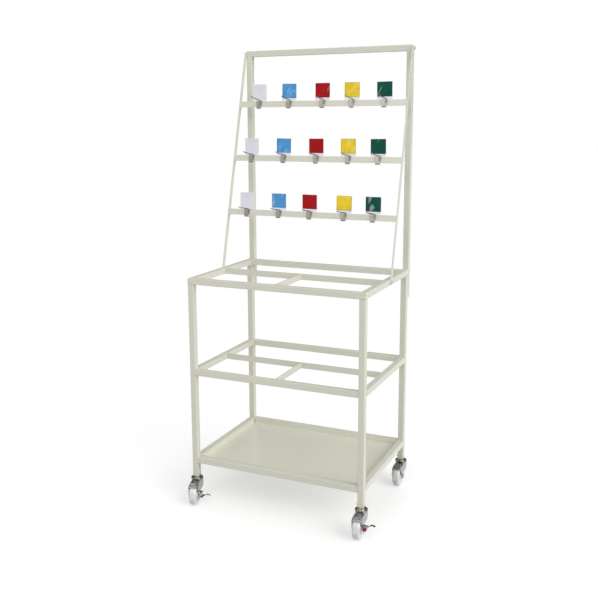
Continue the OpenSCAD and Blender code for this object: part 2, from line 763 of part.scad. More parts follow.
// Pedal: a web that stands across the lever and a narrow tread with a hump at its root.
module pedal_plate(x0, tread_x) {
    front = pedal_arm - pedal_w / 2;
    low = pedal_rise - lever_t / 2;
    high = low + lever_t;
    crest = tread_x + pedal_web_l;
    translate([0, front + lever_t, 0]) rotate([90, 0, 0]) linear_extrude(lever_t)
        polygon([[x0, -pedal_web_h], [x0 + pedal_web_l, -pedal_web_h], [tread_x - 1, low - lever_t],
            [crest, low + tread_hump], [crest, high + tread_hump], [tread_x - 1, high], [x0, high]]);
    translate([0, front + pedal_w, 0]) rotate([90, 0, 0]) linear_extrude(pedal_w)
        polygon([[tread_x, low], [crest, low + tread_hump], [tread_x + tread_l, low],
            [tread_x + tread_l, high], [crest, high + tread_hump], [tread_x, high]]);
}

leg(corner_side[0]);  // leg_front_left
leg(corner_side[1]);  // leg_front_right
leg(corner_side[2]);  // leg_rear_left
leg(corner_side[3]);  // leg_rear_right
top_frame();
middle_frame();
bottom_frame();
shelf_pan();
upright_frame();
strap(-1);  // left_strap
strap(1);  // right_strap
frame_bolts();
caster_stems();
for (i = [0:3]) {
    fork(i);
    wheel(i);
    axle(i);
}
for (i = [0, 1]) brake_pedal(i);
for (row = [0:2]) {
    hanging_bar(row);
    for (col = [0:4]) {
        hook(row, col);
        tag(row, col);
    }
}
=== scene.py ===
import json
import math
import random

import bmesh
import bpy
from mathutils import Matrix, Vector, noise


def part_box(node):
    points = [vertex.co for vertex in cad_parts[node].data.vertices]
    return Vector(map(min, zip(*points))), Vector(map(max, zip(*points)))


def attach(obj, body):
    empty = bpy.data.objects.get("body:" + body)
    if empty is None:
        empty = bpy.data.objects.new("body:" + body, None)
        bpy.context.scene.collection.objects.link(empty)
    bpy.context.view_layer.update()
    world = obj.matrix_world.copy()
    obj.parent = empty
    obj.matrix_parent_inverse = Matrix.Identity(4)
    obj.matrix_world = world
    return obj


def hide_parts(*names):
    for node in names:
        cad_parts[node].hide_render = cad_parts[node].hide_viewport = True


# Catheter cart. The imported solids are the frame, and the pieces made here are dressed onto it.
# Shapes are drawn in millimetres in a frame of their own and placed in the row frame in metres.
MM = 0.001

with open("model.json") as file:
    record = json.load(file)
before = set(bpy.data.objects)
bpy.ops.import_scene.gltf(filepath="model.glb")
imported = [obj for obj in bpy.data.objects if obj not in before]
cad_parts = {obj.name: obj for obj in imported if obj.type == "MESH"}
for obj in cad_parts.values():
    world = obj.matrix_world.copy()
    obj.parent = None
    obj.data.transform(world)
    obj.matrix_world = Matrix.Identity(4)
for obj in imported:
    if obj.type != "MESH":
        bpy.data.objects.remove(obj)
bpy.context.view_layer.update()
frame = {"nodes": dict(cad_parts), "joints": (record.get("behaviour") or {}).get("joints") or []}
joints = {joint["name"]: joint for joint in frame["joints"]}

ROWS = ("top", "middle", "bottom")
COLOURS = ("white", "blue", "red", "yellow", "green")
CORNERS = ("front_left", "front_right", "rear_left", "rear_right")
BRAKED = CORNERS[:2]

# Colours on screen, from 0 to 255.
IVORY = (210, 210, 196)
IVORY_SHADE = (208, 208, 194)
FILM = {"blue": (80, 156, 216), "red": (170, 12, 20), "yellow": (241, 211, 48),
        "green": (6, 80, 66)}
# Painted reflection: share of slanted whitish stripes on each film, and their tint.
FILM_PAINTED_REFLECTIONS = {"blue": 0.26, "red": 0.1, "yellow": 0.18, "green": 0.3}
PAINTED_REFLECTION_TINT = (0.9, 0.95, 0.95, 1)
BLACK = (0, 0, 0, 1)

# A film as it stands in its tag's frame, in metres: half its width, its middle's height and half
# its height.
FILM_RIM = (0.0257, 0.0321, 0.0229)


def linear(rgb, gain=1.0):
    """Scene colour of a screen colour from 0 to 255, with alpha."""
    def one(value):
        value = value / 255
        return value / 12.92 if value <= 0.04045 else ((value + 0.055) / 1.055) ** 2.4
    return tuple(min(one(value) * gain, 1.0) for value in rgb) + (1.0,)


class Shader:
    """A Principled material with a few procedural helpers. Lengths in it are in metres."""

    def __init__(self, name, colour, roughness, metallic=0.0, coat=0.0, coat_roughness=0.1):
        self.material = bpy.data.materials.new(name)
        self.material.use_nodes = True
        self.tree = self.material.node_tree
        self.surface = self.tree.nodes["Principled BSDF"]
        self.surface.inputs["Base Color"].default_value = colour
        self.surface.inputs["Roughness"].default_value = roughness
        self.surface.inputs["Metallic"].default_value = metallic
        self.surface.inputs["Coat Weight"].default_value = coat
        self.surface.inputs["Coat Roughness"].default_value = coat_roughness
        self.coords = self.tree.nodes.new("ShaderNodeTexCoord")

    def noise(self, scale, detail=3.0, stretch=(1, 1, 1), turn=0.0, own=False):
        """Noise on the piece's own coordinates, from 0 to 1. Scale is features to the metre.
        It turns by an angle about Y, and differs from piece to piece where own is true."""
        mapping = self.tree.nodes.new("ShaderNodeMapping")
        mapping.vector_type = "TEXTURE" if turn else "POINT"
        mapping.inputs["Rotation"].default_value = (0, turn, 0)
        mapping.inputs["Scale"].default_value = [1 / s for s in stretch] if turn else stretch
        texture = self.tree.nodes.new("ShaderNodeTexNoise")
        if own:
            texture.noise_dimensions = "4D"
            info = self.tree.nodes.new("ShaderNodeObjectInfo")
            spread = self.tree.nodes.new("ShaderNodeMath")
            spread.operation = "MULTIPLY"
            spread.inputs[1].default_value = 40
            self.tree.links.new(info.outputs["Random"], spread.inputs[0])
            self.tree.links.new(spread.outputs[0], texture.inputs["W"])
        texture.inputs["Scale"].default_value = scale
        texture.inputs["Detail"].default_value = detail
        self.tree.links.new(self.coords.outputs["Object"], mapping.inputs["Vector"])
        self.tree.links.new(mapping.outputs["Vector"], texture.inputs["Vector"])
        return texture.outputs[0]

    def between(self, factor, low, high, start=0.35, end=0.65):
        """A value or colour that runs from low to high as the factor goes from start to end."""
        ramp = self.tree.nodes.new("ShaderNodeValToRGB")
        ramp.color_ramp.elements[0].position = start
        ramp.color_ramp.elements[1].position = end
        ramp.color_ramp.elements[0].color = low if len(low) == 4 else low * 3 + (1.0,)
        ramp.color_ramp.elements[1].color = high if len(high) == 4 else high * 3 + (1.0,)
        self.tree.links.new(factor, ramp.inputs["Fac"])
        return ramp.outputs["Color"]

    def colour(self, factor, low, high, start=0.35, end=0.65):
        self.tree.links.new(self.between(factor, low, high, start, end),
                            self.surface.inputs["Base Color"])

    def rim(self, half_x, mid_z, half_z):
        """0 in the middle of an upright rectangle of the piece's own frame and 1 at its rim."""
        def node(operation, a, b=0.0):
            made = self.tree.nodes.new("ShaderNodeMath")
            made.operation = operation
            for socket, value in zip(made.inputs, (a, b)):
                if isinstance(value, float):
                    socket.default_value = value
                else:
                    self.tree.links.new(value, socket)
            return made.outputs[0]
        axes = self.tree.nodes.new("ShaderNodeSeparateXYZ")
        self.tree.links.new(self.coords.outputs["Object"], axes.inputs[0])
        across = node("DIVIDE", node("ABSOLUTE", axes.outputs["X"]), half_x)
        along = node("DIVIDE", node("ABSOLUTE", node("SUBTRACT", axes.outputs["Z"], mid_z)), half_z)
        return node("MAXIMUM", across, along)

    def tint(self, factor, colour, share, start, end):
        """Mixes up to a share of another colour in, as the factor goes from start to end."""
        base = self.surface.inputs["Base Color"]
        mix = self.tree.nodes.new("ShaderNodeMix")
        mix.data_type = "RGBA"
        mix.inputs[7].default_value = colour
        self.tree.links.new(self.between(factor, (0.0,), (share,), start, end), mix.inputs[0])
        self.tree.links.new(base.links[0].from_socket, mix.inputs[6])
        self.tree.links.new(mix.outputs[2], base)

    def roughness(self, factor, low, high, start=0.35, end=0.65):
        self.tree.links.new(self.between(factor, (low,), (high,), start, end),
                            self.surface.inputs["Roughness"])

    def bump(self, factor, distance, strength=1.0):
        """Raises the surface by distance metres where the factor is 1. Calls add up."""
        bump = self.tree.nodes.new("ShaderNodeBump")
        bump.inputs["Strength"].default_value = strength
        bump.inputs["Distance"].default_value = distance
        self.tree.links.new(factor, bump.inputs["Height"])
        socket = self.surface.inputs["Normal"]
        if socket.links:
            self.tree.links.new(socket.links[0].from_socket, bump.inputs["Normal"])
        self.tree.links.new(bump.outputs["Normal"], socket)


def enamel(name, roughness, coat, gain, peel):
    """Stoved ivory enamel: even colour, faint orange peel, soft gloss."""
    shader = Shader(name, linear(IVORY), roughness, coat=coat, coat_roughness=0.16)
    shader.colour(shader.noise(5, 3), linear(IVORY_SHADE, gain), linear(IVORY, gain), 0.2, 0.8)
    shader.roughness(shader.noise(9, 1), roughness - 0.01, roughness + 0.01, 0.1, 0.9)
    shader.bump(shader.noise(500, 2), 0.00002, peel)
    return shader.material


def plated(name, colour, roughness, painted_dark_share=0.7):
    """Bright plated steel with dark patches of painted reflection, standing in for dark surroundings
    seen in the metal; in them its colour falls to the given share.
    """
    shader = Shader(name, linear(colour), roughness, metallic=1.0)
    shader.roughness(shader.noise(160, 6), roughness - 0.05, roughness + 0.1)
    # Painted reflection: noise patches darken the colour towards the given share.
    shader.colour(shader.noise(80, 4), linear(colour, painted_dark_share), linear(colour), 0.36, 0.58)
    shader.bump(shader.noise(900, 3), 0.00002, 0.4)
    return shader.material


def brushed(name, colour, roughness):
    """Stainless sheet and wire with a fine grain along it."""
    shader = Shader(name, linear(colour), roughness, metallic=1.0)
    grain = shader.noise(900, 4, (6, 6, 0.3))
    shader.roughness(grain, roughness - 0.08, roughness + 0.12)
    shader.colour(shader.noise(120, 3), linear(colour, 0.8), linear(colour))
    shader.bump(grain, 0.00002, 0.5)
    return shader.material


def nylon(name):
    """Moulded whitish nylon, a little waxy."""
    shader = Shader(name, linear((226, 228, 230)), 0.42)
    shader.surface.inputs["Subsurface Weight"].default_value = 0.12
    shader.surface.inputs["Subsurface Radius"].default_value = (0.002, 0.002, 0.002)
    shader.surface.inputs["Subsurface Scale"].default_value = 1.0
    shader.colour(shader.noise(60, 4), linear((206, 210, 211)), linear((224, 226, 227)))
    shader.roughness(shader.noise(300, 4), 0.36, 0.5)
    shader.bump(shader.noise(1400, 3), 0.00003, 0.4)
    return shader.material


def film(name, colour, reflection_share):
    """Coloured film under a glossy face, creased where it was stuck down, with slanted whitish
    stripes painted in as reflections.
    """
    shader = Shader(name, linear(colour), 0.3)
    shader.surface.inputs["Specular IOR Level"].default_value = 0.14
    shader.colour(shader.noise(38, 3, own=True), linear(colour, 0.84), linear(colour, 1.06))
    # Painted reflection: slanted whitish stripes mixed into the film's colour.
    painted_reflections = shader.noise(70, 1, (1, 1, 0.22), math.radians(24), own=True)
    shader.tint(painted_reflections, PAINTED_REFLECTION_TINT, reflection_share, 0.6, 0.7)
    shader.tint(shader.rim(*FILM_RIM), BLACK, 0.4, 0.86, 1.0)
    shader.roughness(shader.noise(120, 4), 0.2, 0.36)
    shader.bump(shader.noise(55, 3, (1, 1, 0.45)), 0.0006, 0.5)
    shader.bump(shader.noise(420, 3), 0.00005, 0.4)
    return shader.material


def plate_plastic(name):
    """Whitish plastic plate with a cool tint."""
    shader = Shader(name, linear((222, 223, 230)), 0.35)
    shader.surface.inputs["Specular IOR Level"].default_value = 0.35
    shader.colour(shader.noise(30, 3), linear((219, 220, 229)), linear((230, 231, 236)))
    shader.roughness(shader.noise(140, 4), 0.28, 0.42)
    shader.bump(shader.noise(60, 2), 0.0002, 0.25)
    return shader.material


def moulded(name, colour, roughness):
    """Plain moulded plastic or rubber."""
    shader = Shader(name, linear(colour), roughness)
    shader.colour(shader.noise(150, 3), linear(colour, 0.8), linear(colour, 1.1))
    shader.roughness(shader.noise(400, 3), roughness - 0.06, roughness + 0.08)
    shader.bump(shader.noise(1500, 2), 0.00003, 0.4)
    return shader.material


ENAMEL = enamel("ivory_enamel", 0.36, 0.15, 1.0, 0.2)
# Painted light: the pan's copy of the enamel has its colour raised by a tenth over the frame's.
LIGHTER_PAN_ENAMEL = enamel("ivory_enamel_pan_painted_lighter", 0.26, 0.25, 1.1, 0.06)
PLATED = plated("bright_plating", (212, 213, 214), 0.07)
# The fork and lever plating is a darker copy of the bright plating: painted reflection of dark
# surroundings.
DARKER_FORK_PLATING = plated("fork_plating_painted_darker", (168, 170, 169), 0.09, 0.76)
ZINC = plated("yellow_zinc", (212, 204, 164), 0.25)
CLIP_STEEL = brushed("stainless_clip", (162, 157, 151), 0.38)
# The wire's steel, which also paints shadow on the clips' lips.
WIRE_STEEL_AND_LIP_SHADE = brushed("stainless_wire_and_lip_shade", (126, 122, 119), 0.26)
NYLON = nylon("wheel_nylon")
# Painted shade for the inside of the caster cups.
CUP_PAINTED_SHADE = plated("cup_inside_painted_shade", (112, 108, 84), 0.3)
KNOB_RED = moulded("knob_red", (146, 12, 32), 0.32)
PAD_BLACK = moulded("pedal_pad", (46, 47, 49), 0.55)
PLATE = plate_plastic("tag_plate")
FILMS = {colour: film("film_" + colour, rgb, FILM_PAINTED_REFLECTIONS[colour]) for colour, rgb in FILM.items()}


def link(name, data):
    """A new object in the scene."""
    made = bpy.data.objects.new(name, data)
    bpy.context.scene.collection.objects.link(made)
    return made


def mesh_from(name, bm):
    """A new mesh from a bmesh, which is freed."""
    mesh = bpy.data.meshes.new(name)
    bm.to_mesh(mesh)
    bm.free()
    return mesh


def make(name, bm, materials, body, place, replaces=(), bevel=0.0, smooth=40):
    """Makes a piece in metres of a bmesh in millimetres, rounds its edges and rides it on a body."""
    bmesh.ops.recalc_face_normals(bm, faces=bm.faces)
    mesh = mesh_from(name, bm)
    mesh.transform(Matrix.Scale(MM, 4))
    for material in materials:
        mesh.materials.append(material)
    mesh.shade_smooth()
    mesh.set_sharp_from_angle(angle=math.radians(smooth))
    piece = link(name, mesh)
    piece.matrix_world = place
    if bevel:
        round_edges(piece, bevel, 38)
    dress(piece, body, replaces)
    return piece


def round_edges(piece, width, angle):
    """Rounds the edges that turn by more than an angle in degrees, to a width in millimetres."""
    rounding = piece.modifiers.new("edges", "BEVEL")
    rounding.width = width * MM
    rounding.segments = 2
    rounding.limit_method = "ANGLE"
    rounding.angle_limit = math.radians(angle)
    rounding.harden_normals = True
    apply_modifiers(piece)


def apply_modifiers(piece):
    """Replaces a piece's mesh by what its modifiers make of it."""
    bpy.context.view_layer.update()
    evaluated = piece.evaluated_get(bpy.context.evaluated_depsgraph_get())
    mesh = bpy.data.meshes.new_from_object(evaluated)
    piece.modifiers.clear()
    piece.data = mesh


def dress(piece, body, replaces):
    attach(piece, body)
    if replaces:
        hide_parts(*replaces)


def again(name, source, body, place, replaces=()):
    """Another piece with the mesh of a piece that is already made."""
    piece = link(name, source.data)
    piece.matrix_world = place
    dress(piece, body, replaces)
    return piece


def arc(cx, cy, radius, start, end, steps=6):
    """Points on an arc, angles in degrees."""
    points = []
    for i in range(steps + 1):
        angle = math.radians(start + (end - start) * i / steps)
        points.append((cx + radius * math.cos(angle), cy + radius * math.sin(angle)))
    return points


def lathe(bm, profile, turn=Matrix(), steps=48, material=0):
    """Turns a closed outline of (radius, height) points round the local Z axis."""
    rings = []
    for i in range(steps):
        angle = 2 * math.pi * i / steps
        rings.append([bm.verts.new(turn @ Vector((r * math.cos(angle), r * math.sin(angle), z)))
                      for r, z in profile])
    count = len(profile)
    for i in range(steps):
        here, there = rings[i], rings[(i + 1) % steps]
        for j in range(count):
            k = (j + 1) % count
            bm.faces.new((here[j], here[k], there[k], there[j])).material_index = material


def disc(radius, low, high, round_low, round_high, hole=0.0):
    """Outline of a disc with rounded rims, for lathe. Its hole is tiny where none is asked."""
    hole = max(hole, 0.02)
    return ([(hole, low)] + arc(radius - round_low, low + round_low, round_low, -90, 0, 3)
            + arc(radius - round_high, high - round_high, round_high, 0, 90, 3) + [(hole, high)])


def skin(bm, rings, material=0):
    """A closed skin over rings of equally many points: both ends first, then ring after ring."""
    count = len(rings[0])
    made = [bm.faces.new(rings[0]), bm.faces.new(rings[-1])]
    for here, there in zip(rings, rings[1:]):
        for i in range(count):
            j = (i + 1) % count
            made.append(bm.faces.new((here[i], here[j], there[j], there[i])))
    for face in made:
        face.material_index = material
    return made


def prism(bm, outline, low, high, turn=Matrix(), material=0):
    """A prism of an outline of (x, y) points between two heights."""
    skin(bm, [[bm.verts.new(turn @ Vector((x, y, z))) for x, y in outline] for z in (low, high)],
         material)


def bent_sheet(bm, line, thickness, point):
    """A strip of sheet along a line of (reach, height, half width). Point turns a reach, a width
    and a height into a place."""
    rings = []
    for i, (u, z, w) in enumerate(line):
        u0, z0, _ = line[max(i - 1, 0)]
        u1, z1, _ = line[min(i + 1, len(line) - 1)]
        length = math.hypot(u1 - u0, z1 - z0)
        nu, nz = -(z1 - z0) / length * thickness / 2, (u1 - u0) / length * thickness / 2
        rings.append([bm.verts.new(point(*corner)) for corner in (
            (u + nu, -w, z + nz), (u + nu, w, z + nz), (u - nu, w, z - nz), (u - nu, -w, z - nz))])
    return skin(bm, rings)


def hexagon(bm, across, low, high, turn=Matrix(), material=0):
    """A hexagon bolt head or nut with its corners turned down to a chamfer on both faces."""
    corner = across / 2
    flat = corner * math.cos(math.pi / 6)
    face = flat * 0.97
    chamfer = (corner - flat) * 0.6
    steps = 24
    rings = []
    for limit, z in ((face, low), (corner, low + chamfer), (corner, high - chamfer), (face, high)):
        ring = []
        for i in range(steps):
            angle = 2 * math.pi * i / steps
            to_flat = flat / math.cos((angle % (math.pi / 3)) - math.pi / 6)
            radius = min(limit, to_flat) if limit > flat else limit
            at = Vector((radius * math.cos(angle), radius * math.sin(angle), z))
            ring.append(bm.verts.new(turn @ at))
        rings.append(ring)
    skin(bm, rings, material)


def rounded_path(corners, radii, steps=7):
    """Points along a bent line, each inner corner rounded to its radius."""
    points = [Vector(corners[0])]
    for before, corner, after, radius in zip(corners, corners[1:], corners[2:], radii):
        before, corner, after = Vector(before), Vector(corner), Vector(after)
        towards, away = (before - corner).normalized(), (after - corner).normalized()
        half = towards.angle(away) / 2
        reach = radius / math.tan(half)
        centre = corner + (towards + away).normalized() * (radius / math.sin(half))
        start, end = corner + towards * reach - centre, corner + away * reach - centre
        for i in range(steps + 1):
            points.append(centre + start.slerp(end, i / steps))
    return points + [Vector(corners[-1])]


def wire_tube(bm, points, radius, material, sides=12):
    """A round wire along points that lie near one plane of constant x, with rounded ends."""
    side = Vector((1, 0, 0))
    stations = []
    for i, point in enumerate(points):
        ahead = points[min(i + 1, len(points) - 1)] - points[max(i - 1, 0)]
        stations.append((point, ahead.normalized(), radius))
    first, last = stations[0], stations[-1]
    for back, share in ((0.6, 0.8), (0.95, 0.3)):
        stations.insert(0, (first[0] - first[1] * radius * back, first[1], radius * share))
        stations.append((last[0] + last[1] * radius * back, last[1], radius * share))
    rings = []
    for point, ahead, size in stations:
        up = side.cross(ahead)
        rings.append([bm.verts.new(point + size * (side * math.cos(a) + up * math.sin(a)))
                      for a in [2 * math.pi * k / sides for k in range(sides)]])
    skin(bm, rings, material)


def cut(piece, tool_bm):
    """Cuts a piece with a shape drawn in millimetres in the piece's own frame."""
    bmesh.ops.recalc_face_normals(tool_bm, faces=tool_bm.faces)
    mesh = mesh_from("tool", tool_bm)
    mesh.transform(Matrix.Scale(MM, 4))
    tool = link("tool", mesh)
    tool.matrix_world = piece.matrix_world
    boolean = piece.modifiers.new("cut", "BOOLEAN")
    boolean.object = tool
    boolean.operation = "DIFFERENCE"
    boolean.solver = "EXACT"
    apply_modifiers(piece)
    bpy.data.objects.remove(tool)


# Camera, at the photograph's viewing angle. The shift is only what the framing needs.
PHOTO_PX = 598
CAMERA_AT = Vector((1073.3, -2394.9, 1235.0)) * MM
CAMERA_YAW = 0.4151
CAMERA_PITCH = 0.1799
CAMERA_ROLL = -0.0027
FOCAL_PX = 816.9
CENTRE_PX = (305.8, 272.0)


def add_camera():
    data = bpy.data.cameras.new("camera")
    data.sensor_width = 36
    data.lens = FOCAL_PX / PHOTO_PX * data.sensor_width
    data.shift_x = (PHOTO_PX / 2 - CENTRE_PX[0]) / PHOTO_PX
    data.shift_y = (CENTRE_PX[1] - PHOTO_PX / 2) / PHOTO_PX
    camera = link("camera", data)
    turn = (Matrix.Rotation(CAMERA_YAW, 4, "Z")
            @ Matrix.Rotation(math.pi / 2 - CAMERA_PITCH, 4, "X")
            @ Matrix.Rotation(CAMERA_ROLL, 4, "Z"))
    camera.matrix_world = Matrix.Translation(CAMERA_AT) @ turn
    bpy.context.scene.camera = camera


def seen_directly(tree):
    """1 for camera, glossy and transmission rays, and 0 for the rays that light the object."""
    path = tree.nodes.new("ShaderNodeLightPath")
    total = path.outputs["Is Camera Ray"]
    for name in ("Is Glossy Ray", "Is Transmission Ray"):
        add = tree.nodes.new("ShaderNodeMath")
        add.operation = "MAXIMUM"
        tree.links.new(total, add.inputs[0])
        tree.links.new(path.outputs[name], add.inputs[1])
        total = add.outputs[0]
    return total


# Light: the sky's strength, the floor's grey as a light and the share of plain white in the
# floor as seen, two suns with direction, strength, width in degrees and colour, and one lamp in
# front, with its place, what it is aimed at, its width and its power in watts.
SKY_LIGHT = 0.54
FLOOR_LIGHT = 0.64
FLOOR_GLOW = 0.45
FLOOR_SIZE = 60
SUNS = (("key", (0.84, -0.26, 0.48), 0.6, 50, (1.0, 0.98, 0.98)),
        ("back_fill", (-0.2, 0.9, 0.4), 0.14, 70, (1.0, 1.0, 1.0)))
LAMP = (Vector((-0.25, -2.2, 2.6)), Vector((0.0, 0.15, 1.25)), 1.4, 15.5)
FLOOR_WHITE = [1 / (SKY_LIGHT + sum(Vector(towards).normalized().z * strength * colour[i]
                                    for _, towards, strength, _, colour in SUNS)) for i in range(3)]


def add_world():
    world = bpy.data.worlds.new("studio")
    world.use_nodes = True
    tree = world.node_tree
    background = tree.nodes["Background"]
    background.inputs["Color"].default_value = (1, 1, 1, 1)
    mix = tree.nodes.new("ShaderNodeMix")
    mix.inputs["A"].default_value = SKY_LIGHT
    mix.inputs["B"].default_value = 1.0
    tree.links.new(seen_directly(tree), mix.inputs["Factor"])
    tree.links.new(mix.outputs["Result"], background.inputs["Strength"])
    bpy.context.scene.world = world


def add_floor():
    bm = bmesh.new()
    bmesh.ops.create_grid(bm, x_segments=1, y_segments=1, size=FLOOR_SIZE)
    mesh = mesh_from("floor", bm)
    material = bpy.data.materials.new("pale_floor")
    material.use_nodes = True
    tree = material.node_tree
    tree.nodes.remove(tree.nodes["Principled BSDF"])
    seen = seen_directly(tree)
    diffuse = tree.nodes.new("ShaderNodeBsdfDiffuse")
    mix = tree.nodes.new("ShaderNodeMix")
    mix.data_type = "RGBA"
    mix.inputs[6].default_value = (FLOOR_LIGHT, FLOOR_LIGHT, FLOOR_LIGHT, 1)
    mix.inputs[7].default_value = (*FLOOR_WHITE, 1)
    tree.links.new(seen, mix.inputs["Factor"])
    tree.links.new(mix.outputs[2], diffuse.inputs["Color"])
    white = tree.nodes.new("ShaderNodeEmission")
    share = tree.nodes.new("ShaderNodeMath")
    share.operation = "MULTIPLY"
    share.inputs[1].default_value = FLOOR_GLOW
    tree.links.new(seen, share.inputs[0])
    both = tree.nodes.new("ShaderNodeMixShader")
    tree.links.new(share.outputs[0], both.inputs[0])
    tree.links.new(diffuse.outputs["BSDF"], both.inputs[1])
    tree.links.new(white.outputs["Emission"], both.inputs[2])
    tree.links.new(both.outputs[0], tree.nodes["Material Output"].inputs["Surface"])
    mesh.materials.append(material)
    floor = link("floor", mesh)


# Dark cards of the studio: place, size and grey. Five hang above, one stands on the left, one in
# front and two behind, one over the other.
FLAGS = (((0, -2.4, 4.6), (9, 0.7, 0.05), 0.03),
         ((0, 0.4, 4.6), (9, 0.5, 0.05), 0.03),
         ((0, 3.0, 3.6), (9, 0.9, 0.05), 0.03),
         ((0, -4.4, 4.2), (9, 0.8, 0.05), 0.03),
         ((0, -6.2, 3.1), (9, 0.9, 0.05), 0.03),
         ((-4.2, 0, 2.2), (0.02, 8, 1.6), 0.03),
         ((0.4, -5.6, 0.9), (1.1, 0.02, 1.6), 0.03),
         ((-1.5, 5.5, 1.9), (10, 0.02, 1.7), 0.4),
         ((-1.5, 5.5, 3.9), (10, 0.02, 2.3), 0.1))


def flag(place, size, grey):
    """A card that only shows as a dark band in polished metal and gloss."""
    bm = bmesh.new()
    bmesh.ops.create_cube(bm, size=1)
    bm.transform(Matrix.Translation(place) @ Matrix.Diagonal((*size, 1)))
    mesh = mesh_from("flag", bm)
    material = bpy.data.materials.new("flag_cloth")
    material.use_nodes = True
    cloth = material.node_tree.nodes["Principled BSDF"]
    cloth.inputs["Base Color"].default_value = (grey, grey, grey, 1)
    mesh.materials.append(material)
    card = link("flag", mesh)
    card.visible_camera = False
    card.visible_diffuse = False
    card.visible_shadow = False
    card.visible_transmission = False


def aim(light, direction):
    """Turns a light so that it shines in a direction."""
    light.rotation_mode = "QUATERNION"
    light.rotation_quaternion = direction.to_track_quat("-Z", "Y")


def soft_sun(name, towards, strength, angle, colour):
    """A wide, soft light from far away, in the direction towards, from the object."""
    data = bpy.data.lights.new(name, "SUN")
    data.energy = strength * math.pi
    data.angle = math.radians(angle)
    data.color = colour
    aim(link(name, data), -Vector(towards))


def front_lamp():
    """A square soft lamp above and in front, nearer to the upper part of the cart."""
    at, target, width, power = LAMP
    data = bpy.data.lights.new("front_lamp", "AREA")
    data.size = width
    data.energy = power
    light = link("front_lamp", data)
    light.location = at
    light.visible_camera = False
    aim(light, target - at)


def add_studio():
    bpy.context.scene.view_settings.view_transform = "Standard"
    add_world()
    add_floor()
    for sun in SUNS:
        soft_sun(*sun)
    front_lamp()
    for card in FLAGS:
        flag(*card)


# Painted steel keeps the shapes of the solids.
PAINTED = ("leg_front_left", "leg_front_right", "leg_rear_left", "leg_rear_right", "top_frame",
           "middle_frame", "bottom_frame", "upright_frame", "left_strap", "right_strap",
           "hanging_bar_top", "hanging_bar_middle", "hanging_bar_bottom")


def paint_node(name, material):
    for slot in frame["nodes"][name].material_slots:
        slot.material = material


def paint_frame():
    for name in PAINTED:
        paint_node(name, ENAMEL)
    paint_node("shelf_pan", LIGHTER_PAN_ENAMEL)


# Bars and hooks, in millimetres. A hook's frame has its origin on its bar's front top edge,
# Y towards the back through the bar and Z up along the straps.
STRAP_FOOT = (21.0, 742.0)
STRAP_HEAD = (210.7, 1472.0)
RAKE = math.atan2(STRAP_HEAD[0] - STRAP_FOOT[0], STRAP_HEAD[1] - STRAP_FOOT[1])
BAR_H = 20.0
BAR_T = 3.0
CLIP_GAP = 0.25
CLIP_SHEET = 1.0
CLIP_W = 20.0
CLIP_FOOT_W = 16.0
CLIP_BACK = 12.0
CLIP_BELOW = 5.6
CLIP_ROUND = 0.22
LIP_R = 2.2
LIP_SHADE_STRIPS = 8
FOLD_R = 1.2
WIRE_D = 3.0
WIRE_SIDE = 3.0
WIRE_LEG_X = 5.5
WIRE_UP = 4.5
WIRE_WELD = 12.0
WIRE_REACH = 54.0
WIRE_RISE = math.radians(-0.5)
WIRE_TIP = 14.0
WIRE_TIP_SLOPE = math.radians(42)
WIRE_BENDS = (3.4, 6.0)
WELD_R = 0.75
TAG_W = 53.0
TAG_H = 48.0
TAG_FOOT = 7.5
TAG_T = 1.2
TAG_R = 2.0
TAG_FOLD = 0.9
TONGUE_W = 12.0
TONGUE_L = 14.0
TONGUE_CUT = 2.0
FILM_W = 51.4
FILM_H = 47.0
FILM_MARGIN = 0.5
FILM_GRID = (26, 24)
HOOK_SEED = 11
CLIP_FRONT = -CLIP_GAP - TAG_T - CLIP_SHEET
CLIP_INNER_BACK = BAR_T + CLIP_GAP
TAG_BASE = CLIP_GAP + CLIP_SHEET
TAG_BEND = TAG_BASE + TAG_FOOT
TAG_FRONT = -CLIP_GAP - TAG_T


def hook_place(row, colour):
    """Matrix of a hook's frame, from the boxes of its bar and its hook."""
    _, bar_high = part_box("hanging_bar_" + row)
    hook_low, hook_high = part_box(f"hook_{row}_{colour}")
    edge_y = bar_high.y - BAR_T * MM * math.cos(RAKE)
    at = Vector(((hook_low.x + hook_high.x) / 2, edge_y, bar_high.z))
    return Matrix.Translation(at) @ Matrix.Rotation(-RAKE, 4, "X")


def clip_width(z):
    """The clip narrows from its shoulders to its foot."""
    shoulder = -6.0
    share = max(0.0, min(1.0, (shoulder - z) / (shoulder + BAR_H + CLIP_BELOW)))
    return CLIP_W + (CLIP_FOOT_W - CLIP_W) * share


def clip_line():
    """Middle line of the clip's sheet in (y, z), from its curled lip over the fold to its back."""
    half = CLIP_SHEET / 2
    foot = -BAR_H - CLIP_BELOW
    front = CLIP_FRONT + half
    back = CLIP_INNER_BACK + half
    top = CLIP_GAP + half
    line = [(CLIP_FRONT + 2 * LIP_R, foot + half + 0.3), (CLIP_FRONT + LIP_R + 1, foot + half)]
    line += arc(CLIP_FRONT + LIP_R, foot + LIP_R, LIP_R - half, -90, -180, 6)
    line += [(front, z) for z in (-18.0, -12.0, -6.0, -2.0)]
    line += arc(front + FOLD_R, top - FOLD_R, FOLD_R, 180, 90, 5)
    line += arc(back - FOLD_R, top - FOLD_R, FOLD_R, 90, 0, 5)
    return line + [(back, -4.0), (back, -8.0), (back + 0.25, -10.5), (back + 0.9, -CLIP_BACK)]


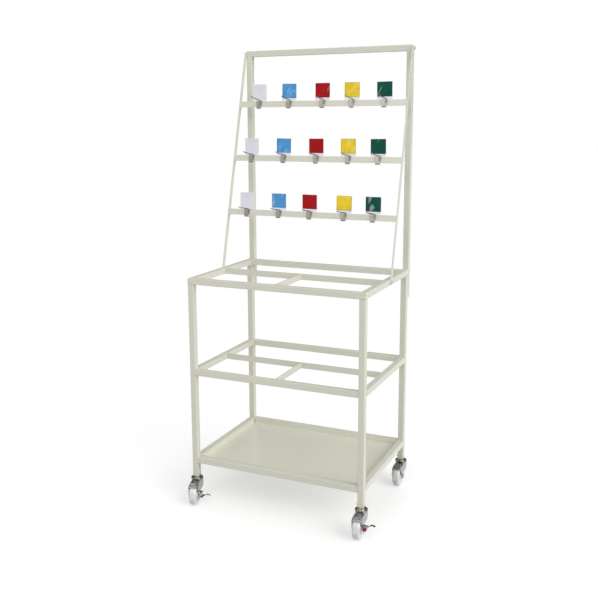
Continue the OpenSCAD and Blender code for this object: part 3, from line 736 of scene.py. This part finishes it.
def make_clip_mesh():
    """One clip with its welded wire, whose mesh all hooks share. Its lip takes the darker wire's
    steel as painted shadow under its curl, and its fold has a slot for the tag's tongue."""
    bm = bmesh.new()
    line = [(y, z, clip_width(z) / 2) for y, z in clip_line()]
    faces = bent_sheet(bm, line, CLIP_SHEET, lambda y, x, z: (x, y, z))
    # Painted shadow: the faces round the lip take the darker wire's steel.
    for face in faces[2:2 + 4 * LIP_SHADE_STRIPS]:
        face.material_index = 1
    hook = f"{ROWS[0]}_{COLOURS[0]}"
    piece = make("hook_detail_" + hook, bm, (CLIP_STEEL, WIRE_STEEL_AND_LIP_SHADE), "hanger_" + hook,
                 hook_place(ROWS[0], COLOURS[0]), ["hook_" + hook])
    slot = bmesh.new()
    half = TONGUE_W / 2 + 0.2
    near, far = CLIP_FRONT + CLIP_SHEET, -CLIP_GAP
    prism(slot, [(-half, near), (half, near), (half, far), (-half, far)], 0.1, 3.0)
    cut(piece, slot)
    round_edges(piece, CLIP_ROUND, 50)
    add_wire(piece)
    return piece


def add_wire(piece):
    """Joins the bent wire and its welds to the clip's mesh."""
    bm = bmesh.new()
    root_y = CLIP_FRONT - WIRE_D / 2 + 0.1
    root = Vector((WIRE_LEG_X, root_y, WIRE_UP))
    level = Matrix.Rotation(RAKE, 4, "X")
    forward = level @ Vector((0, -math.cos(WIRE_RISE), math.sin(WIRE_RISE)))
    upward = level @ Vector((0, -math.cos(WIRE_TIP_SLOPE), math.sin(WIRE_TIP_SLOPE)))
    bend = root + forward * WIRE_REACH
    bend.x = WIRE_SIDE
    path = rounded_path([(WIRE_LEG_X, root_y, -WIRE_WELD), root, bend, bend + upward * WIRE_TIP],
                        WIRE_BENDS)
    wire_tube(bm, path, WIRE_D / 2, 1)
    for face in bm.faces:
        middle = face.calc_center_median()
        if middle.y > root_y - WIRE_D and middle.z < WIRE_UP - 1.0:
            face.material_index = 0
    for z in (-WIRE_WELD + 1.5, -2.5):
        for side in (-1, 1):
            at = Matrix.Translation((WIRE_LEG_X + side * WIRE_D * 0.42, CLIP_FRONT - 0.1, z))
            bmesh.ops.create_uvsphere(bm, u_segments=10, v_segments=6, radius=WELD_R,
                                      matrix=at @ Matrix.Diagonal((1, 0.8, 2.2, 1)))
    bmesh.ops.recalc_face_normals(bm, faces=bm.faces)
    bm.transform(Matrix.Scale(MM, 4))
    for face in bm.faces:
        face.smooth = True
    bm.from_mesh(piece.data)
    bm.to_mesh(piece.data)
    bm.free()


def plate_outline():
    """Tag plate with its tongue, in (x, z)."""
    side = TAG_W / 2 - TAG_R
    low, high = TAG_BASE + TAG_R, TAG_BEND + TAG_H - TAG_R
    points = arc(side, low, TAG_R, -90, 0, 4) + arc(side, high, TAG_R, 0, 90, 4)
    points += arc(-side, high, TAG_R, 90, 180, 4) + arc(-side, low, TAG_R, 180, 270, 4)
    half = TONGUE_W / 2
    return points + [(-half, TAG_BASE), (-half, TONGUE_CUT - TONGUE_L),
                     (TONGUE_CUT - half, -TONGUE_L), (half - TONGUE_CUT, -TONGUE_L),
                     (half, TONGUE_CUT - TONGUE_L), (half, TAG_BASE)]


def bend_tag(bm):
    """Folds a flat tag to the front in three small steps, so that its film stands upright."""
    for step in (1, 0, -1):
        at = Vector((0, TAG_FRONT, TAG_BEND + step * TAG_FOLD))
        above = [v for v in bm.verts if v.co.z > at.z + 0.01]
        bmesh.ops.rotate(bm, cent=at, matrix=Matrix.Rotation(RAKE / 3, 3, "X"), verts=above)


def make_plate(name, body, place, replaces):
    """A bent tag plate with its tongue, whose mesh all tags share."""
    bm = bmesh.new()
    upright = Matrix.Rotation(math.pi / 2, 4, "X")
    prism(bm, plate_outline(), CLIP_GAP, CLIP_GAP + TAG_T, upright)
    for step in (-1, 0, 1):
        bmesh.ops.bisect_plane(bm, geom=bm.verts[:] + bm.edges[:] + bm.faces[:],
                               plane_co=(0, 0, TAG_BEND + step * TAG_FOLD), plane_no=(0, 0, 1))
    bend_tag(bm)
    return make(name, bm, (PLATE,), body, place, replaces, bevel=0.25)


def make_film(name, colour, body, place, seed):
    """A film on a tag's front: a fine grid that follows the plate, with creases of its own."""
    bm = bmesh.new()
    columns, rows = FILM_GRID
    low = TAG_BEND + FILM_MARGIN
    shift = Vector((seed * 7.3, seed * 3.1, 0))
    grid = []
    for j in range(rows + 1):
        line = []
        for i in range(columns + 1):
            u, v = i / columns, j / rows
            x = (u - 0.5) * FILM_W
            z = low + v * FILM_H
            corner = max(abs(u - 0.5), abs(v - 0.5)) * 2
            x *= 1 - 0.012 * (abs(v - 0.5) * 2) ** 8
            z += 0.5 * (abs(u - 0.5) * 2) ** 8 * (0.5 - v)
            crease = noise.noise(Vector((x * 0.09, z * 0.045, 0)) + shift)
            fine = noise.noise(Vector((x * 0.3, z * 0.16, 4)) + shift)
            proud = 0.22 + 0.15 * crease + 0.06 * fine
            proud *= 1 - 0.6 * max(0.0, corner - 0.9) / 0.1
            line.append(bm.verts.new((x, TAG_FRONT - proud, z)))
        grid.append(line)
    for j in range(rows):
        for i in range(columns):
            bm.faces.new((grid[j][i], grid[j][i + 1], grid[j + 1][i + 1], grid[j + 1][i]))
    edge = [e for e in bm.edges if e.is_boundary]
    made = bmesh.ops.extrude_edge_only(bm, edges=edge)
    new_verts = [v for v in made["geom"] if isinstance(v, bmesh.types.BMVert)]
    for vert in new_verts:
        vert.co.y = TAG_FRONT + 0.02
    bm.faces.new(boundary_loop(new_verts))
    bend_tag(bm)
    return make(name, bm, (FILMS[colour],), body, place, smooth=50)


def boundary_loop(verts):
    """The vertices of one open edge, in order."""
    inside = set(verts)
    order = [verts[0]]
    while len(order) < len(verts):
        for edge in order[-1].link_edges:
            other = edge.other_vert(order[-1])
            if edge.is_boundary and other in inside and other not in order[-2:]:
                order.append(other)
                break
    return order


def make_hooks():
    """Fifteen hooks with their tags, each a little differently seated."""
    rng = random.Random(HOOK_SEED)
    clip = make_clip_mesh()
    plate = None
    for row in ROWS:
        for colour in COLOURS:
            hook = f"{row}_{colour}"
            body = "hanger_" + hook
            place = hook_place(row, colour)
            if (row, colour) != (ROWS[0], COLOURS[0]):
                again("hook_detail_" + hook, clip, body, place, ["hook_" + hook])
            lean = Matrix.Rotation(math.radians(rng.uniform(-0.9, 0.9)), 4, "Y")
            twist = Matrix.Rotation(math.radians(rng.uniform(-1.6, 1.6)), 4, "Z")
            tag_place = place @ lean @ twist
            name, slot, nodes = "tag_plate_" + hook, "tag_" + colour, ["tag_" + hook]
            if plate is None:
                plate = make_plate(name, body, tag_place, nodes)
            else:
                again(name, plate, body, tag_place, nodes)
            if colour != "white":
                make_film("tag_film_" + hook, colour, body, tag_place, rng.uniform(0, 50))


# Bolts that hold the straps and the posts, in millimetres. A bolt's frame has Z along its axis,
# into the wall, and its origin on the wall.
STRAP_BOLT_D = 5.0
POST_BOLT_D = 6.0
STRAP_OUT = 303.0
EYE = (219.0, 1472.0)
POST_BACK = 232.5
POST_X = 290.0
POST_BOLTS_Z = (671.0, 716.0)


def make_bolt(name, d, head_h, place, replaces=()):
    bm = bmesh.new()
    lathe(bm, disc(1.1 * d, -1.0, 0.0, 0.3, 0.3), steps=32)
    hexagon(bm, 1.9 * d, -1.0 - head_h, -1.0)
    lathe(bm, disc(d / 2, -1.0, 12.0, 0.2, 0.8), steps=24)
    return make(name, bm, (PLATED,), "frame", place, replaces)


def make_bolts():
    count = 0
    for side in (-1, 1):
        inward = Matrix.Rotation(math.radians(-side * 90), 4, "Y")
        for y, z in (STRAP_FOOT, EYE):
            place = Matrix.Translation(Vector((side * STRAP_OUT, y, z)) * MM) @ inward
            make_bolt(f"strap_bolt_{count}", STRAP_BOLT_D, 4.0, place, ["frame_bolts"])
            count += 1
        for z in POST_BOLTS_Z:
            place = Matrix.Translation(Vector((side * POST_X, POST_BACK, z)) * MM)
            forward = Matrix.Rotation(math.radians(90), 4, "X")
            make_bolt(f"post_bolt_{count}", POST_BOLT_D, 4.5, place @ forward)
            count += 1


# Casters, in millimetres. A caster's frame has its origin on the floor under its swivel,
# X along the axle, and the wheel trails towards -Y.
WHEEL_D = 70.0
WHEEL_W = 24.0
SHOULDER = 7.0
TRAIL = 36.0
AXLE_Z = 35.0
AXLE_D = 8.0
HUB_HALF = 13.5
FORK_SHEET = 2.5
FORK_IN = 13.8
FORK_OUT = FORK_IN + FORK_SHEET
CROWN_TOP = 75.0
CROWN_LOW = CROWN_TOP - FORK_SHEET
HOOD_R = CROWN_TOP - AXLE_Z
HOOD_CORNER = 7.0
HOOD_SWEEP = 38
CROWN_R = 20.0
CUP_LOW = 75.3
CUP_RIM = 78.7
CUP_R = 20.3
LEG_FOOT = 86.0
CHEEK_DROP = 0.8
BOSS_R = AXLE_D / 2 + 5.5
FORK_REAR = 17.5
FORK_REAR_R = 12.0
SHIN_H = 7.5
WASHER_D = 17.2
NUT_D = 15.2
NUT_H = 5.0
STEM_D = 10.0
STEM_NUT_D = 19.0
EAR_T = 0.8
EAR_W = 6.0
EAR_SLOPE = math.radians(52)
LEVER_T = 2.0
LEVER_IN = FORK_OUT + 0.3
LEVER_OUT = LEVER_IN + LEVER_T
LEVER_TURN = {"front_left": -40, "front_right": 0}
PEDAL_ARM = 17.0
PEDAL_W = 7.0
PEDAL_REACH = 33.0
PEDAL_RISE = 2.0
TREAD_L = 17.0
TREAD_HUMP = 2.5
WEB_H = 9.0
KNOB_ARM = 14.7
KNOB_UP = 3.0
KNOB_X = FORK_OUT + 8.2
KNOB_D = 13.0
KNOB_T = 5.0
KNOB_LEAN = 72
ALONG_X = Matrix.Rotation(math.pi / 2, 4, "Y")


def caster_place(corner):
    """Matrix of a caster's frame, from its swivel and its axle."""
    swivel = Vector(joints["swivel_" + corner]["pos_m"])
    along = Vector(joints["spin_" + corner]["axis"])
    turn = Matrix.Rotation(math.atan2(along.y, along.x), 4, "Z")
    return Matrix.Translation((swivel.x, swivel.y, 0)) @ turn


def axle_turn(x=0.0):
    """Local Z along the axle, origin x to the right of the wheel's middle."""
    return Matrix.Translation((x, -TRAIL, AXLE_Z)) @ ALONG_X


def wheel_profile():
    """Half outline of the wheel in (radius, height), then mirrored."""
    tread = WHEEL_D / 2
    half = [(AXLE_D / 2 + 0.05, HUB_HALF), (9.6, HUB_HALF)]
    half += [(10.8, HUB_HALF - 0.6), (11.4, HUB_HALF - 2.0), (11.8, 9.0)]
    half += arc(14.3, 9.0, 2.5, 180, 270, 4)
    half += [(tread - 13.0, 7.0), (tread - 11.1, 7.6), (tread - 9.9, 9.2), (tread - 9.1, 10.8)]
    half += [(tread - 8.1, 11.7), (tread - 7.3, WHEEL_W / 2)]
    half += arc(tread - SHOULDER, WHEEL_W / 2 - SHOULDER, SHOULDER, 88, 4, 9)
    half += [(tread, 2.2), (tread, 0.9)]
    return half + [(r, -z) for r, z in reversed(half)]


def make_wheel(corner, place):
    bm = bmesh.new()
    lathe(bm, wheel_profile(), axle_turn(), 96)
    return make("wheel_detail_" + corner, bm, (NYLON,), "wheel_" + corner, place,
                ["wheel_" + corner], smooth=32)


def hood_line():
    """Where the fork's section stands, from the lip over the wheel to the rear: (y, z) of its top
    and the tilt of its depth from straight down."""
    steps = 8
    stations = []
    for i in range(steps + 1):
        angle = math.radians(HOOD_SWEEP * (1 - i / steps))
        stations.append((-TRAIL - HOOD_R * math.sin(angle), AXLE_Z + HOOD_R * math.cos(angle),
                         angle))
    return stations + [(y, CROWN_TOP, 0.0) for y in (-18.0, 0.0, FORK_REAR)]


def cheek_edge():
    """The free edge of a cheek in (y, z), from the rear of the crown round to the hood's lip."""
    low = CROWN_TOP - CHEEK_DROP * HOOD_R
    rear = arc(FORK_REAR - FORK_REAR_R, low + FORK_REAR_R, FORK_REAR_R, 0, -90, 7)
    waist = [(-TRAIL + 2.1 * BOSS_R, low - 0.6), (-TRAIL + 1.5 * BOSS_R, low - 1.7)]
    boss = arc(-TRAIL, AXLE_Z, BOSS_R, 22, -180, 18)
    front = -TRAIL - BOSS_R
    shin = [(front - 0.4, AXLE_Z + SHIN_H), (front - 2.4, AXLE_Z + SHIN_H + 4.5)]
    return rear + waist + boss + shin


def fork_arch(half, corner, lower):
    """Half of the arch over the wheel in (side, depth), from its middle to its corner's end."""
    return [(0.0, lower)] + [(x, -depth) for x, depth in
                             arc(half - corner, -HOOD_CORNER, corner, 90, 0, 5)]


def make_fork(corner, place):
    """Pressed fork in one sheet: a lip and hood over the wheel, a flat crown and two cheeks."""
    bm = bmesh.new()
    arches = []
    for half, radius, lower in ((FORK_OUT, HOOD_CORNER, 0.0),
                                (FORK_IN, HOOD_CORNER - FORK_SHEET, FORK_SHEET)):
        right = fork_arch(half, radius, lower)
        arches.append([(-x, depth) for x, depth in reversed(right[1:])] + right)
    strips = []
    for arch in arches:
        strip = []
        for y, z, tilt in hood_line():
            strip.append([bm.verts.new((x, y + depth * math.sin(tilt), z - depth * math.cos(tilt)))
                          for x, depth in arch])
        strips.append(strip)
    for strip in strips:
        for here, there in zip(strip, strip[1:]):
            for k in range(len(here) - 1):
                bm.faces.new((here[k], here[k + 1], there[k + 1], there[k]))
    outer, inner = strips
    for end in (0, -1):
        for k in range(len(outer[end]) - 1):
            bm.faces.new((outer[end][k], outer[end][k + 1], inner[end][k + 1], inner[end][k]))
    for side, k in ((-1, 0), (1, -1)):
        rims = []
        for strip, x in ((outer, FORK_OUT), (inner, FORK_IN)):
            free = [bm.verts.new((side * x, y, z)) for y, z in cheek_edge()]
            bm.faces.new([ring[k] for ring in strip] + free)
            rims.append([strip[-1][k]] + free + [strip[0][k]])
        for j in range(len(rims[0]) - 1):
            bm.faces.new((rims[0][j], rims[0][j + 1], rims[1][j + 1], rims[1][j]))
    lathe(bm, disc(CROWN_R, CROWN_LOW - 0.1, CROWN_TOP + 0.1, 0.5, 0.5, STEM_D / 2), steps=64)
    for side in (-1, 1):
        turn = axle_turn(side * FORK_OUT) @ Matrix.Rotation(0 if side > 0 else math.pi, 4, "X")
        lathe(bm, disc(7.2, -0.5, 0.35, 0.1, 0.3, AXLE_D / 2), turn, 40)
    return make("fork_detail_" + corner, bm, (DARKER_FORK_PLATING,), "caster_" + corner, place,
                ["fork_" + corner], bevel=0.35)


def make_stem(corner, place):
    """Fixed parts of a caster: cup with a dark layer of painted shade inside, tall nut, washer with
    two ears, stem and rivet head.
    """
    bm = bmesh.new()
    stem = STEM_D / 2
    flat = CUP_R - 4.0
    cup = [(stem, CUP_LOW), (flat - 1.0, CUP_LOW)]
    cup += arc(flat - 1.0, CUP_LOW + 1.6, 1.6, -90, -40, 4) + [(CUP_R - 0.4, CUP_RIM - 0.9)]
    cup += arc(CUP_R - 0.65, CUP_RIM - 0.5, 0.5, -40, 180, 6)
    cup += [(flat - 0.7, CUP_LOW + 1.7), (flat - 2.0, CUP_LOW + 1.3), (stem, CUP_LOW + 1.3)]
    lathe(bm, cup, steps=72)
    lathe(bm, disc(stem + 2.5, CROWN_LOW - 2.8, CROWN_LOW - 0.4, 1.2, 0.2), steps=32)
    lathe(bm, disc(stem, CROWN_LOW - 1.0, LEG_FOOT + 6, 0.2, 0.2), steps=32)
    # Painted shade: a thin dark layer over the cup's floor stands in for the shade deep inside it.
    shade_lining = [(stem, CUP_LOW + 1.35), (flat - 2.0, CUP_LOW + 1.35), (flat - 0.7, CUP_LOW + 1.75),
              (CUP_R - 1.5, CUP_RIM - 0.6), (CUP_R - 1.6, CUP_RIM - 0.5),
              (flat - 0.8, CUP_LOW + 1.9), (flat - 2.0, CUP_LOW + 1.5), (stem, CUP_LOW + 1.5)]
    lathe(bm, shade_lining, steps=72, material=2)
    lathe(bm, disc(12.6, CUP_LOW + 1.2, CUP_LOW + 2.0, 0.1, 0.3, stem), steps=48)
    hexagon(bm, STEM_NUT_D, CUP_LOW + 1.9, LEG_FOOT - EAR_T, material=1)
    lathe(bm, disc(9.5, LEG_FOOT - EAR_T, LEG_FOOT - 0.02, 0.15, 0.1), steps=48)
    for side in (-1, 1):
        ear(bm, side)
    return make("stem_detail_" + corner, bm, (PLATED, ZINC, CUP_PAINTED_SHADE), "frame", place,
                ["caster_stems"], bevel=0.15, smooth=35)


def ear(bm, side):
    """An ear of the washer, bent up beside the leg's wall, with a rounded tip."""
    bend = 10.3
    line = [(6.0, LEG_FOOT - EAR_T / 2, EAR_W / 2), (bend - 1.2, LEG_FOOT - EAR_T / 2, EAR_W / 2)]
    line += [(x, z, EAR_W / 2) for x, z in arc(bend - 0.6, LEG_FOOT + 0.9, 1.3, -80, -38, 4)]
    start = line[-1]
    for along, share in ((3.0, 1.0), (5.4, 0.97), (6.6, 0.84), (7.4, 0.62), (7.9, 0.3)):
        line.append((start[0] + along * math.cos(EAR_SLOPE), start[1] + along * math.sin(EAR_SLOPE),
                     share * EAR_W / 2))
    bent_sheet(bm, line, EAR_T, lambda x, y, z: (side * x, y, z))


def make_axle(corner, place):
    """Axle bolt with its head at one end, and a washer and a nut at the other."""
    bm = bmesh.new()
    right = LEVER_OUT + 0.3 if corner in BRAKED else FORK_OUT + 0.36
    lathe(bm, disc(AXLE_D / 2, -FORK_OUT - 1.0, right + NUT_H + 0.9, 0.2, 0.8), axle_turn(), 32)
    lathe(bm, disc(WASHER_D / 2, -FORK_OUT - 1.3, -FORK_OUT - 0.36, 0.25, 0.1), axle_turn(), 40)
    hexagon(bm, NUT_D, -FORK_OUT - NUT_H, -FORK_OUT - 1.3, axle_turn())
    lathe(bm, disc(WASHER_D / 2, right, right + 1.0, 0.1, 0.25), axle_turn(), 40)
    hexagon(bm, NUT_D, right + 1.0, right + NUT_H, axle_turn())
    return make("axle_detail_" + corner, bm, (PLATED,), "caster_" + corner, place,
                ["axle_" + corner], smooth=30)


def lever_outline():
    """Side of the brake lever in (y, z) about the axle: pedal arm, knob arm and foot."""
    r = 8.4
    end = PEDAL_ARM + PEDAL_W / 2
    points = [(end - 0.2, 1.4), (end - 1.2, 3.4), (end - 3.6, 4.4)]
    points += [(12.0, 4.6)] + arc(0, 0, r, 38, 142, 8)
    points += [(-10.5, KNOB_UP + 4.0), (-KNOB_ARM, KNOB_UP + 4.0), (-KNOB_ARM, KNOB_UP - 4.0)]
    points += [(-9.6, -1.6)]
    points += arc(0, 0, r, 205, 238, 3)
    points += [(-4.0, -10.0), (-4.0, -15.0), (-2.6, -16.8)]
    points += [(2.6, -16.8), (4.0, -15.0), (4.0, -10.0)]
    points += arc(0, 0, r, 302, 325, 3)
    return points + [(12.0, -4.7), (end - 3.6, -4.7), (end - 0.2, -2.6)]


def make_lever(corner, place):
    """Bent sheet lever on the axle, with a web to its black pedal and a plate for its knob."""
    bm = bmesh.new()
    side_on = Matrix(((0, 0, 1, 0), (1, 0, 0, 0), (0, 1, 0, 0), (0, 0, 0, 1)))
    prism(bm, lever_outline(), LEVER_IN, LEVER_OUT, side_on)
    front_on = Matrix(((1, 0, 0, 0), (0, 0, -1, 0), (0, 1, 0, 0), (0, 0, 0, 1)))
    tip = LEVER_IN + PEDAL_REACH
    tread = tip - TREAD_L
    crest = tread + 6.0
    front = PEDAL_ARM - PEDAL_W / 2
    low, high = PEDAL_RISE - LEVER_T / 2, PEDAL_RISE + LEVER_T / 2
    web = [(LEVER_IN, -WEB_H + 0.4), (LEVER_IN + 0.6, -WEB_H), (LEVER_IN + 5.0, -WEB_H),
           (LEVER_IN + 7.2, -WEB_H + 0.9), (LEVER_IN + 9.0, -WEB_H + 2.6), (tread - 3.5, low - 3.4),
           (tread - 1.0, low - 2.0), (tread + 1.5, low - 0.2), (crest, low + TREAD_HUMP),
           (crest, high + TREAD_HUMP - 0.2), (tread + 2.0, high + 0.9), (tread - 1.0, high),
           (LEVER_IN, high)]
    prism(bm, web, -front - LEVER_T, -front, front_on)
    pedal = [(tread, low), (tread + 3.0, low + 1.1), (crest - 0.8, low + TREAD_HUMP - 0.1),
             (crest + 1.0, low + TREAD_HUMP - 0.3), (tip - 0.6, low), (tip, low + 0.5),
             (tip, high - 0.5), (tip - 0.6, high), (crest + 1.0, high + TREAD_HUMP - 0.3),
             (crest - 0.8, high + TREAD_HUMP - 0.1), (tread + 3.0, high + 1.1), (tread, high)]
    prism(bm, pedal, -front - PEDAL_W, -front, front_on, material=1)
    plate = [(LEVER_IN, KNOB_UP - 4), (KNOB_X - 3.0, KNOB_UP - 4), (KNOB_X, KNOB_UP - 3),
             (KNOB_X + 1.5, KNOB_UP), (KNOB_X, KNOB_UP + 3), (KNOB_X - 3.0, KNOB_UP + 4),
             (LEVER_IN, KNOB_UP + 4)]
    prism(bm, plate, KNOB_ARM - LEVER_T / 2, KNOB_ARM + LEVER_T / 2, front_on)
    return make("lever_detail_" + corner, bm, (DARKER_FORK_PLATING, PAD_BLACK), "brake_" + corner, place,
                ["brake_pedal_" + corner], bevel=0.3)


def make_knob(corner, place):
    """Round red button on the lever's knob arm, dished with a rim."""
    bm = bmesh.new()
    r = KNOB_D / 2
    profile = [(0.02, -1.0), (r - 1.4, -1.0)] + arc(r - 0.9, -0.1, 0.9, -90, 0, 3)
    profile += arc(r - 1.1, KNOB_T - 2.1, 1.1, 0, 90, 4)
    profile += [(r - 2.0, KNOB_T - 1.1), (r - 2.5, KNOB_T - 1.5), (2.2, KNOB_T - 1.3),
                (1.5, KNOB_T - 1.05), (0.02, KNOB_T - 1.0)]
    at = Matrix.Translation((KNOB_X, -KNOB_ARM - LEVER_T / 2, KNOB_UP))
    lathe(bm, profile, at @ Matrix.Rotation(math.radians(90 - KNOB_LEAN), 4, "X"), 48)
    return make("knob_" + corner, bm, (KNOB_RED,), "brake_" + corner, place,
                ["brake_pedal_" + corner], smooth=45)


def make_casters():
    """Four casters from one set of meshes, and a lever with a knob on each front one."""
    first = {}
    for corner in CORNERS:
        place = caster_place(corner)
        level = Matrix.Translation(place.translation)
        rocking = place @ Matrix.Translation(Vector((0, -TRAIL, AXLE_Z)) * MM)
        for kind, build, body, spot, slot, node in (
                ("wheel", make_wheel, "wheel_" + corner, place, "nylon", "wheel_" + corner),
                ("fork", make_fork, "caster_" + corner, place, "plated_steel", "fork_" + corner),
                ("stem", make_stem, "frame", level, "plated_steel", "caster_stems")):
            if kind in first:
                again(f"{kind}_detail_{corner}", first[kind], body, spot, [node])
            else:
                first[kind] = build(corner, spot)
        make_axle(corner, place)
        if corner in BRAKED:
            spot = rocking @ Matrix.Rotation(math.radians(LEVER_TURN[corner]), 4, "X")
            make_lever(corner, spot)
            make_knob(corner, spot)


add_camera()
add_studio()
paint_frame()
make_hooks()
make_bolts()
make_casters()
